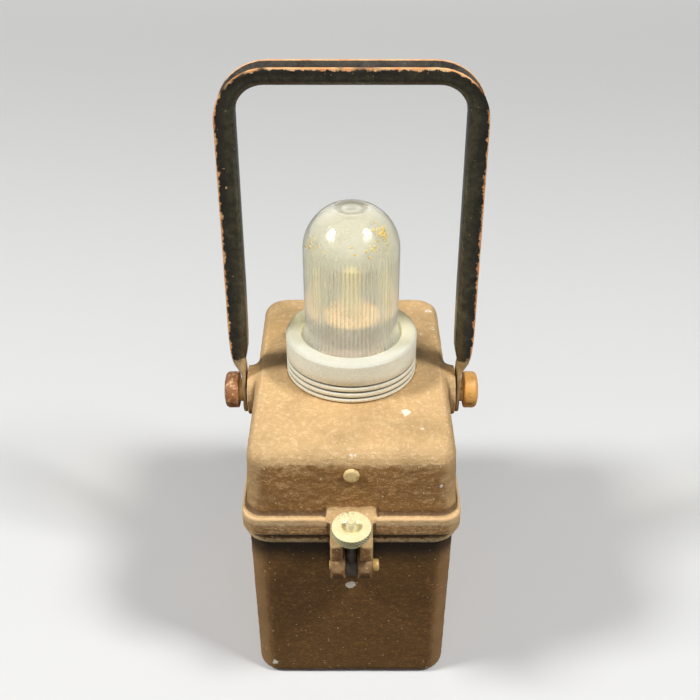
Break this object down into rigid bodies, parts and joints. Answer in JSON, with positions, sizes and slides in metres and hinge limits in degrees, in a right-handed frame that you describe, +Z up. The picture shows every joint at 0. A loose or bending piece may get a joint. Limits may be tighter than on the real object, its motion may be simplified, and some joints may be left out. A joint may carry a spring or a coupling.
{
  "type": "railway lamp",
  "caption": "Portable battery lamp: oblong cast case, hinged lid with a fluted glass dome under a screwed ring, swing bolt latch and a swinging channel bail handle.",
  "frame": {"origin": "centre of the flat base of the case", "axes": "+Z up through the glass dome, +X to the right seen from the latch side, the latch towards -Y"},
  "size_m": [0.1372, 0.1921, 0.3217],
  "materials": {
    "case_paint": "rough hammered brown paint on a casting, worn",
    "lid_paint": "rough hammered tan paint on a casting, worn",
    "handle_paint": "black gloss, chipped to an orange primer at the edges",
    "ring_metal": "pale grey, sandy, matt",
    "dome_glass": "clear pressed glass, fluted inside",
    "bulb_glass": "pearl glass, slightly yellow",
    "zinc": "yellowish zinc plate, dull",
    "brass": "dull",
    "dark_steel": "dull, stained",
    "rusty_steel": "brown rust and worn paint",
    "ochre_steel": "ochre paint over rust",
    "rubber": "matt",
    "felt": "grey felt",
    "battery_carton": "waxed board",
    "sealing_pitch": "black pitch",
    "bakelite": "dark brown moulding",
    "pale_disc": "pale moulding",
    "fibre": "hard fibre"
  },
  "bodies": {
    "case": {"case": "case_paint", "lid_hinge_pin": "dark_steel", "latch_pin": "brass", "battery_pad": "felt", "battery": "battery_carton", "battery_cover": "sealing_pitch", "battery_terminals": "brass"},
    "lid": {"lid": "lid_paint", "lid_seal": "rubber", "front_rivet": "zinc", "front_contact_strip": "brass", "rear_contact_strip": "brass", "lamp_plate": "bakelite", "lamp_plate_screws": "zinc", "lamp_holder": "bakelite", "lamp_disc": "pale_disc", "centre_contact": "brass", "bulb_cap": "brass", "bulb_glass": "bulb_glass", "glass_seal": "rubber", "glass_dome": "dome_glass", "pivot_bolt_left": "rusty_steel", "pivot_bolt_right": "ochre_steel", "pivot_washers": "dark_steel", "pivot_collars": "brass", "pivot_locknuts": "zinc"},
    "ring_slide": {"ring_washer": "fibre"},
    "ring": {"glass_ring": "ring_metal"},
    "handle": {"handle": "handle_paint"},
    "latch_bolt": {"swing_bolt": "dark_steel"},
    "nut_slide": {"thumb_nut_washer": "zinc"},
    "nut": {"thumb_nut": "zinc"}
  },
  "joints": [
    {"name": "lid_open", "type": "hinge", "parent": "case", "child": "lid", "pos_m": [0, 0.0861, 0.1055], "axis": [-1, 0, 0], "range_deg": [0, 105]},
    {"name": "handle_swing", "type": "hinge", "parent": "lid", "child": "handle", "pos_m": [0, 0, 0.1428], "axis": [1, 0, 0], "range_deg": [-100, 100]},
    {"name": "bolt_swing", "type": "hinge", "parent": "case", "child": "latch_bolt", "pos_m": [0, -0.0875, 0.0979], "axis": [1, 0, 0], "range_deg": [0, 174]},
    {"name": "nut_lift", "type": "slide", "parent": "latch_bolt", "child": "nut_slide", "axis": [0, -0.1132, 0.9936], "range_m": [0, 0.00325]},
    {"name": "nut_turn", "type": "hinge", "parent": "nut_slide", "child": "nut", "pos_m": [0, -0.0875, 0.0979], "axis": [0, -0.1132, 0.9936], "range_deg": [0, 1440]},
    {"name": "ring_lift", "type": "slide", "parent": "lid", "child": "ring_slide", "axis": [0, 0, 1], "range_m": [0, 0.0091]},
    {"name": "ring_turn", "type": "hinge", "parent": "ring_slide", "child": "ring", "pos_m": [0, 0, 0.17], "axis": [0, 0, 1], "range_deg": [0, 1080]}
  ],
  "couplings": [
    {"joint": "nut_lift", "follows": "nut_turn", "m_per_rad": 0.00012732},
    {"joint": "ring_lift", "follows": "ring_turn", "m_per_rad": 0.00047746}
  ]
}
